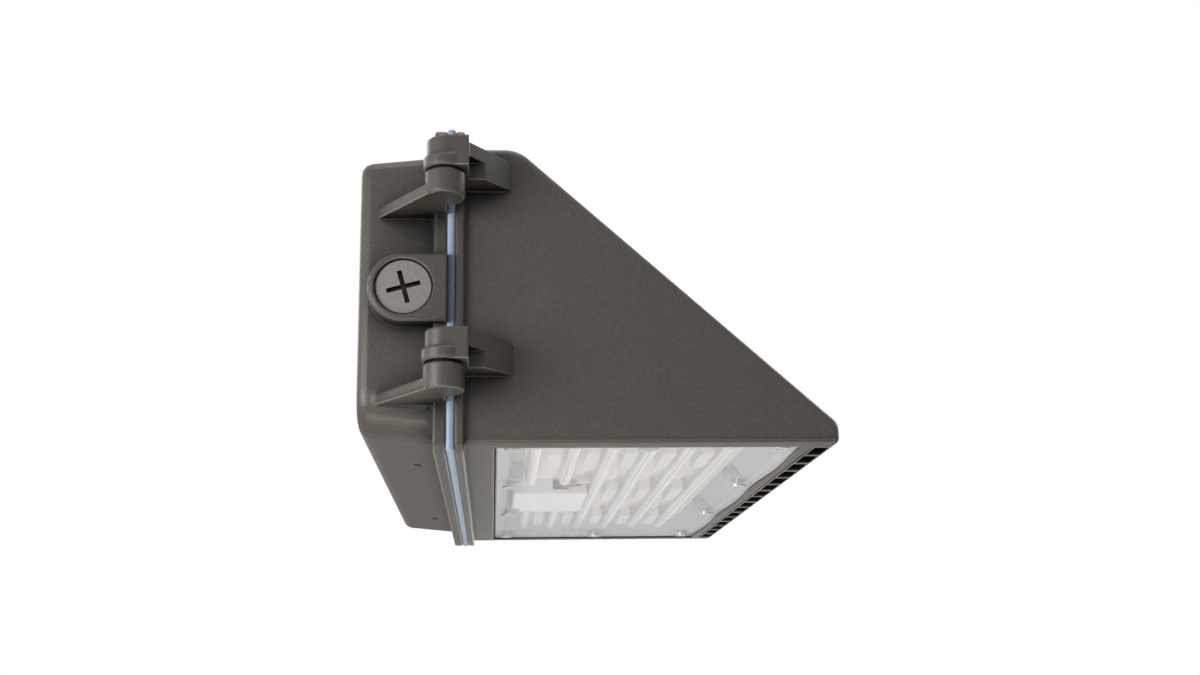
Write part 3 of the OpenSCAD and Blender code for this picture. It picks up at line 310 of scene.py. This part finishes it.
def optic_painted_light(mat, tone):
    """The plastic's tone times the painted stripes of refraction, highlights and the board seen
    through, which repeat at the pitch of the rows. The share of a pitch is the part after the point of
    (middle of the third rib - y) / pitch."""
    rib_half = 3.6 * MM
    rows_between = 3
    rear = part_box("optic_bar_3")[1][1]
    pitch = (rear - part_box("optic_bar_6")[1][1]) / rows_between
    coord = add(mat, "ShaderNodeTexCoord")
    place = add(mat, "ShaderNodeSeparateXYZ", {0: coord.outputs["Object"]})
    ahead = add(mat, "ShaderNodeMath", {0: rear - rib_half, 1: place.outputs["Y"]},
                operation="SUBTRACT")
    pitches = add(mat, "ShaderNodeMath", {0: ahead.outputs[0], 1: pitch}, operation="DIVIDE")
    share = add(mat, "ShaderNodeMath", {0: pitches.outputs[0]}, operation="FRACT")
    ramp = add(mat, "ShaderNodeValToRGB", {"Fac": share.outputs[0]})
    first, last = ramp.color_ramp.elements
    first.color = srgb(ROW_PAINTED_LIGHT[0][1])
    last.color = srgb(ROW_PAINTED_LIGHT[-1][1])
    for position, code in ROW_PAINTED_LIGHT[1:-1]:
        ramp.color_ramp.elements.new(position).color = srgb(code)
    return add(mat, "ShaderNodeMix", {
        MIX_SHARE: 1.0, COLOUR_A: ramp.outputs["Color"], COLOUR_B: tone},
        data_type="RGBA", blend_type="MULTIPLY").outputs[COLOUR_MIXED]


# Acrylic, extruded clear, over the white board. It is drawn opaque, with the board's white seen
# through it painted on its skin, so it is a pale rib with painted fine lines and a clean gloss. It has
# no tone of its own.
extruded_acrylic = surface(
    "extruded_acrylic", "ffffff", "ffffff", cloud_mm=25, rough=0.2, swing=0.04, specular=0.6,
    colour=optic_painted_light)

# Acrylic, cut in clear blocks and polished. Drawn opaque, with the white of what it covers painted on,
# and with sharper glints.
polished_acrylic = surface(
    "polished_acrylic", "f6f6f6", "fcfcfc", cloud_mm=25, rough=0.15, swing=0.04, specular=0.6)

# Aluminium sheet, sprayed with matt white reflector paint. Even and soft, with a light orange peel.
sprayed_reflector_paint = surface(
    "sprayed_reflector_paint", "bcbec1", "c6c8ca", cloud_mm=28.6, rough=0.5, grain_mm=(0.03, 1.43))

# ABS, moulded, bright white. Half matt, with crisp edges.
moulded_white_abs = surface(
    "moulded_white_abs", "f3f3f6", "f8f8fa", cloud_mm=33.3, rough=0.4, grain_mm=(0.02, 1.11),
    edge_mm=0.4)

# White solder mask, printed on the aluminium board and cured. An even enamel gloss.
printed_solder_mask = surface(
    "printed_solder_mask", "f7f5f8", "fcfafc", cloud_mm=11.1, rough=0.35)

# Phosphor, cast in silicone on each chip. Cream, and grainy over a millimetre.
cast_phosphor = surface("cast_phosphor", "eee9d6", "f3efdf", cloud_mm=1.11, rough=0.5)

# Vinyl, extruded over the wire. It turns from brown to grey along the lead, with half a gloss.
extruded_vinyl = surface("extruded_vinyl", "5b4a42", "8a7d74", cloud_mm=40, rough=0.4)

# Finishes inside the door

# Aluminium plate, mill finish. The rolls leave streaks 7 mm long and half a millimetre wide, which
# stretch the highlights.
rolled_aluminium = surface(
    "rolled_aluminium", "a9abad", "c3c5c7", cloud_mm=7.14, rough=0.38, metal=0.9, edge_mm=0.2,
    stretch=(1.0, 14.0, 14.0))

# Aluminium sheet, mill finish, dulled by handling. Clouds 17 mm wide turn from light to dark.
dulled_aluminium = surface(
    "dulled_aluminium", "9c9fa3", "b9bcc0", cloud_mm=16.7, rough=0.36, metal=0.85)

# Steel can, painted off-white. Satin, with a light orange peel.
painted_steel = surface(
    "painted_steel", "d2d3d4", "dedfe0", cloud_mm=8.33, rough=0.45, grain_mm=(0.04, 1.11), edge_mm=0.5)

# Nylon, moulded, cream. Half matt, with softened corners.
moulded_cream_nylon = surface(
    "moulded_cream_nylon", "e0ded8", "eae8e3", cloud_mm=11.1, rough=0.42, edge_mm=0.3)

FINISHES = {
    bronze_powder_coat: ("back_box", "lamp_housing"),
    moulded_blue_silicone: ("box_gasket",),
    dulled_cast_zinc: ("plug_left", "plug_right"),
    headed_stainless: ("hinge_pin_lower", "hinge_pin_upper", "lens_screws", "spreader_screws",
                       "driver_screws", "closing_screw_lower", "closing_screw_upper"),
    dyed_zinc_plate: ("ground_screw",),
    moulded_black_nylon: ("hinge_washer_lower", "hinge_washer_upper", "lead_grommet"),
    moulded_white_silicone: ("lens_gasket",),
    frosted_polycarbonate: ("lens",),
    extruded_acrylic: ("optic_bar_1_left", "optic_bar_1_right", "optic_bar_2_left",
                       "optic_bar_2_right", "optic_bar_3", "optic_bar_4", "optic_bar_5",
                       "optic_bar_6"),
    polished_acrylic: ("bar_clips",),
    sprayed_reflector_paint: ("reflector_tray",),
    moulded_white_abs: ("wire_cover",),
    printed_solder_mask: ("led_board",),
    cast_phosphor: ("led_chips",),
    extruded_vinyl: ("led_leads",),
    rolled_aluminium: ("heat_spreader",),
    dulled_aluminium: ("driver_bracket",),
    painted_steel: ("led_driver",),
    moulded_cream_nylon: ("lead_connector", "terminal_block"),
}
for skin, names in FINISHES.items():
    for name in names:
        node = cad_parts[name]
        if not node.material_slots:
            node.data.materials.append(skin)
        for place in node.material_slots:
            place.material = skin


# New pieces


def mesh_object(name, grid, closed_u, closed_v, skin):
    """A mesh from a grid of points, rows along u and columns along v, with quads between
    neighbours and the first row or column joined to the last where the grid is closed."""
    rows, cols = grid.shape[:2]
    u = np.arange(rows if closed_u else rows - 1)
    v = np.arange(cols if closed_v else cols - 1)
    a, b = np.meshgrid(u, v, indexing="ij")
    a2, b2 = (a + 1) % rows, (b + 1) % cols
    corners = [a * cols + b, a * cols + b2, a2 * cols + b2, a2 * cols + b]
    quads = np.stack(corners, axis=-1).reshape(-1, 4)
    mesh = bpy.data.meshes.new(name)
    mesh.from_pydata(grid.reshape(-1, 3).tolist(), [], quads.tolist())
    mesh.shade_smooth()
    mesh.materials.append(skin)
    obj = bpy.data.objects.new(name, mesh)
    bpy.context.scene.collection.objects.link(obj)
    return obj


def rounded_outline(half_x, half_z, radius, steps):
    """Points of a rectangle with round corners, anticlockwise, and the outward direction at each:
    four arcs of the same radius, each corner = its centre + radius * (cos t, sin t)."""
    t = np.linspace(0, math.pi / 2, steps)
    turns = np.concatenate([t + k * math.pi / 2 for k in range(4)])
    out = np.stack([np.cos(turns), np.sin(turns)], axis=1)
    signs = np.array([[1, 1], [-1, 1], [-1, -1], [1, -1]])
    centre = np.repeat(signs * [half_x - radius, half_z - radius], steps, axis=0)
    return centre + radius * out, out


def box_gasket():
    """Ring of silicone pressed between the two flanges. Its section is (d, y): d is the distance
    outwards from the flange edge, y runs between the flange faces. The outer skin bulges as
    d = bulge * (sqrt(1 - s^2) - 1) with s from -1 to 1 across the gap, and the inner skin is flat."""
    corner, bulge, width = 1.6 * MM, 1.1 * MM, 5.2 * MM
    corner_steps, skin_steps = 12, 11
    low, high = (np.array(c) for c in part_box("box_gasket"))
    half, middle = (high - low) / 2, (high + low) / 2
    path, out = rounded_outline(half[0], half[2], corner, corner_steps)
    s = np.sin(np.linspace(-math.pi / 2, math.pi / 2, skin_steps))
    d = np.concatenate([bulge * (np.sqrt(1 - s ** 2) - 1), [-width, -width]])
    y = np.concatenate([middle[1] + s * half[1], [high[1], low[1]]])
    x = middle[0] + path[:, None, 0] + out[:, None, 0] * d[None, :]
    z = middle[2] + path[:, None, 1] + out[:, None, 1] * d[None, :]
    grid = np.stack([x, np.broadcast_to(y, x.shape), z], axis=-1)
    piece = mesh_object("gasket_ring", grid, True, True, moulded_blue_silicone)
    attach(piece, "wall_box")
    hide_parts("box_gasket")


def lens_ring():
    """White silicone channel round the edge of the lens. Its outline follows the recess: straight on
    three sides, and y = front + wave - wave * cos(2 * pi * x / pitch) along the front, with three
    pitches from the middle of the first screw to that of the last. The section is a thin lip beside
    the lens and a flat web above it, which reaches in to the rim of the tray."""
    wave, pitches, steps = 0.9 * MM, 3, 121
    screw_head, lip_width = 8.6 * MM, 0.26 * MM
    clearance, tuck = 0.04 * MM, 0.6 * MM
    low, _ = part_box("lens_gasket")
    (x0, front, lip_bottom), (x1, rear, _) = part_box("lens")
    (rim_x0, rim_front, rim_bottom), (rim_x1, rim_rear, _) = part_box("reflector_tray")
    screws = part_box("lens_screws")
    pitch = (screws[1][0] - screws[0][0] - screw_head) / pitches
    web_bottom, web_top = low[2] + clearance, rim_bottom - clearance

    def outline(grow):
        """Closed outline of the lens, grown by a distance."""
        x = np.linspace(x0 - grow, x1 + grow, steps)
        y = front + wave - grow - wave * np.cos(2 * math.pi * x / pitch)
        back_run = np.stack([x[::-1], np.full_like(x, rear + grow)], 1)
        return np.concatenate([np.stack([x, y], 1), back_run])

    inner = outline(0.0)
    inner[:, 0] = np.clip(inner[:, 0], rim_x0 + tuck, rim_x1 - tuck)
    inner[:, 1] = np.clip(inner[:, 1], rim_front + tuck, rim_rear - tuck)
    lip = outline(lip_width)
    lens_edge = outline(clearance)
    section = ((lip, lip_bottom), (lip, web_top), (inner, web_top),
               (inner, web_bottom), (lens_edge, web_bottom), (lens_edge, lip_bottom))
    grid = np.stack([np.concatenate([xy, np.full((len(xy), 1), z)], axis=1) for xy, z in section])
    piece = mesh_object("lens_ring", grid, True, True, moulded_white_silicone)
    piece.data.shade_flat()
    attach(piece, "door")
    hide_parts("lens_gasket")


box_gasket()
lens_ring()


# Floor, light and camera


def stage_floor():
    """A plain pale disc under the part, from a pinhole at its middle out to the reach: two rings,
    x = r * cos t and y = r * sin t."""
    height, pinhole, reach, steps = -0.62, 0.0001, 6.0, 96
    t = np.linspace(0, 2 * math.pi, steps, endpoint=False)
    r = np.array([pinhole, reach])[:, None]
    grid = np.stack([r * np.cos(t), r * np.sin(t), np.full((2, steps), height)], axis=-1)
    # Vinyl sheet, rolled out. Pale and matt, with faint clouds half a metre wide.
    rolled_vinyl, out = new_material("rolled_vinyl")
    tone, _ = clouds(rolled_vinyl, 500, srgb("dcdad6"), srgb("e0deda"))
    skin = add(rolled_vinyl, "ShaderNodeBsdfPrincipled", {
        "Base Color": tone, "Roughness": 0.8, "Specular IOR Level": 0.2})
    rolled_vinyl.node_tree.links.new(skin.outputs["BSDF"], out.inputs["Surface"])
    floor = mesh_object("floor", grid, False, True, rolled_vinyl)


def white_world(strength):
    """White to the camera and in reflections, plain grey light to everything else."""
    world = bpy.data.worlds.new("white_room")
    bpy.context.scene.world = world
    world.use_nodes = True
    world.node_tree.nodes.clear()
    path = add(world, "ShaderNodeLightPath").outputs
    direct = add(world, "ShaderNodeMath", {0: path["Is Camera Ray"], 1: path["Is Glossy Ray"]},
                 operation="MAXIMUM")
    seen = add(world, "ShaderNodeMath", {0: direct.outputs[0], 1: path["Is Transmission Ray"]},
               operation="MAXIMUM")
    room = add(world, "ShaderNodeBackground", {"Color": (1, 1, 1, 1), "Strength": strength})
    white = add(world, "ShaderNodeBackground", {"Color": (1, 1, 1, 1), "Strength": 1.0})
    mix = add(world, "ShaderNodeMixShader", {
        0: seen.outputs[0], 1: room.outputs[0], 2: white.outputs[0]})
    out = add(world, "ShaderNodeOutputWorld")
    world.node_tree.links.new(mix.outputs[0], out.inputs["Surface"])


def soft_light(name, place, target, width, height, watts, tint):
    """A rectangular area lamp at a place, turned to its target with its height up."""
    lamp = bpy.data.lights.new(name, "AREA")
    lamp.shape = "RECTANGLE"
    lamp.size = width
    lamp.size_y = height
    lamp.energy = watts
    lamp.color = srgb(tint)[:3]
    obj = bpy.data.objects.new(name, lamp)
    bpy.context.scene.collection.objects.link(obj)
    obj.location = place
    obj.rotation_euler = (Vector(target) - Vector(place)).to_track_quat("-Z", "Y").to_euler()


# Name, place, target, width, height, watts and colour of each lamp, with lengths in metres
LAMPS = (
    ("key_rear_left", (-0.68, 0.55, -0.06), (-0.17, -0.06, 0.0), 0.4, 0.4, 7.4, "ffffff"),
    ("strip_below", (-0.4, 0.06, -0.47), (-0.2, 0.0, -0.03), 0.3, 0.1, 0.9, "fffaf0"),
    ("panel_below", (0.06, -0.2, -0.44), (0.05, -0.13, 0.0), 0.36, 0.36, 0.58, "ffffff"),
    ("top", (-0.3, -0.3, 1.5), (-0.1, -0.1, 0.0), 0.8, 0.8, 10.0, "ffffff"),
    ("front_right", (1.3, -1.5, 0.9), (0.0, -0.1, 0.0), 1.0, 1.0, 14.0, "ffffff"),
    ("back_right", (1.3, 1.5, 0.7), (0.0, -0.05, 0.0), 1.0, 1.0, 10.0, "ffffff"),
    ("right", (1.0, -0.25, 0.1), (0.19, -0.08, 0.0), 0.5, 0.5, 3.0, "ffffff"),
)
ROOM_STRENGTH = 0.21

# The photograph's camera, in metres and degrees. Its focal length is in pixels of the frame, and its
# shift is a share of the frame's width.
CAMERA_PLACE = (-0.73304, -0.06145, -0.18415)
CAMERA_YAW, CAMERA_PITCH, CAMERA_ROLL = -3.410, 13.776, -0.902
FOCAL_PIXELS, FRAME_PIXELS, SENSOR_MM = 1265.2, 1200, 36.0
CAMERA_SHIFT = (0.02917, 0.04167)
NEAREST_SEEN = 10 * MM


def photo_camera():
    """Camera at the photograph's place: forward from yaw and pitch, then the frame turned by the
    roll."""
    yaw, pitch, roll = (math.radians(a) for a in (CAMERA_YAW, CAMERA_PITCH, CAMERA_ROLL))
    forward = Vector((math.cos(pitch) * math.cos(yaw), math.cos(pitch) * math.sin(yaw),
                      math.sin(pitch)))
    level_right = forward.cross(Vector((0, 0, 1))).normalized()
    level_up = level_right.cross(forward)
    right = level_right * math.cos(roll) + level_up * math.sin(roll)
    up = level_up * math.cos(roll) - level_right * math.sin(roll)
    data = bpy.data.cameras.new("photo_camera")
    data.sensor_width = SENSOR_MM
    data.lens = FOCAL_PIXELS / FRAME_PIXELS * SENSOR_MM
    data.shift_x, data.shift_y = CAMERA_SHIFT
    data.clip_start = NEAREST_SEEN
    cam = bpy.data.objects.new("photo_camera", data)
    bpy.context.scene.collection.objects.link(cam)
    turn = Matrix((right, up, -forward)).transposed()
    cam.matrix_world = Matrix.Translation(CAMERA_PLACE) @ turn.to_4x4()
    bpy.context.scene.camera = cam


stage_floor()
white_world(ROOM_STRENGTH)
for lamp in LAMPS:
    soft_light(*lamp)
photo_camera()
bpy.context.scene.view_settings.view_transform = "Standard"
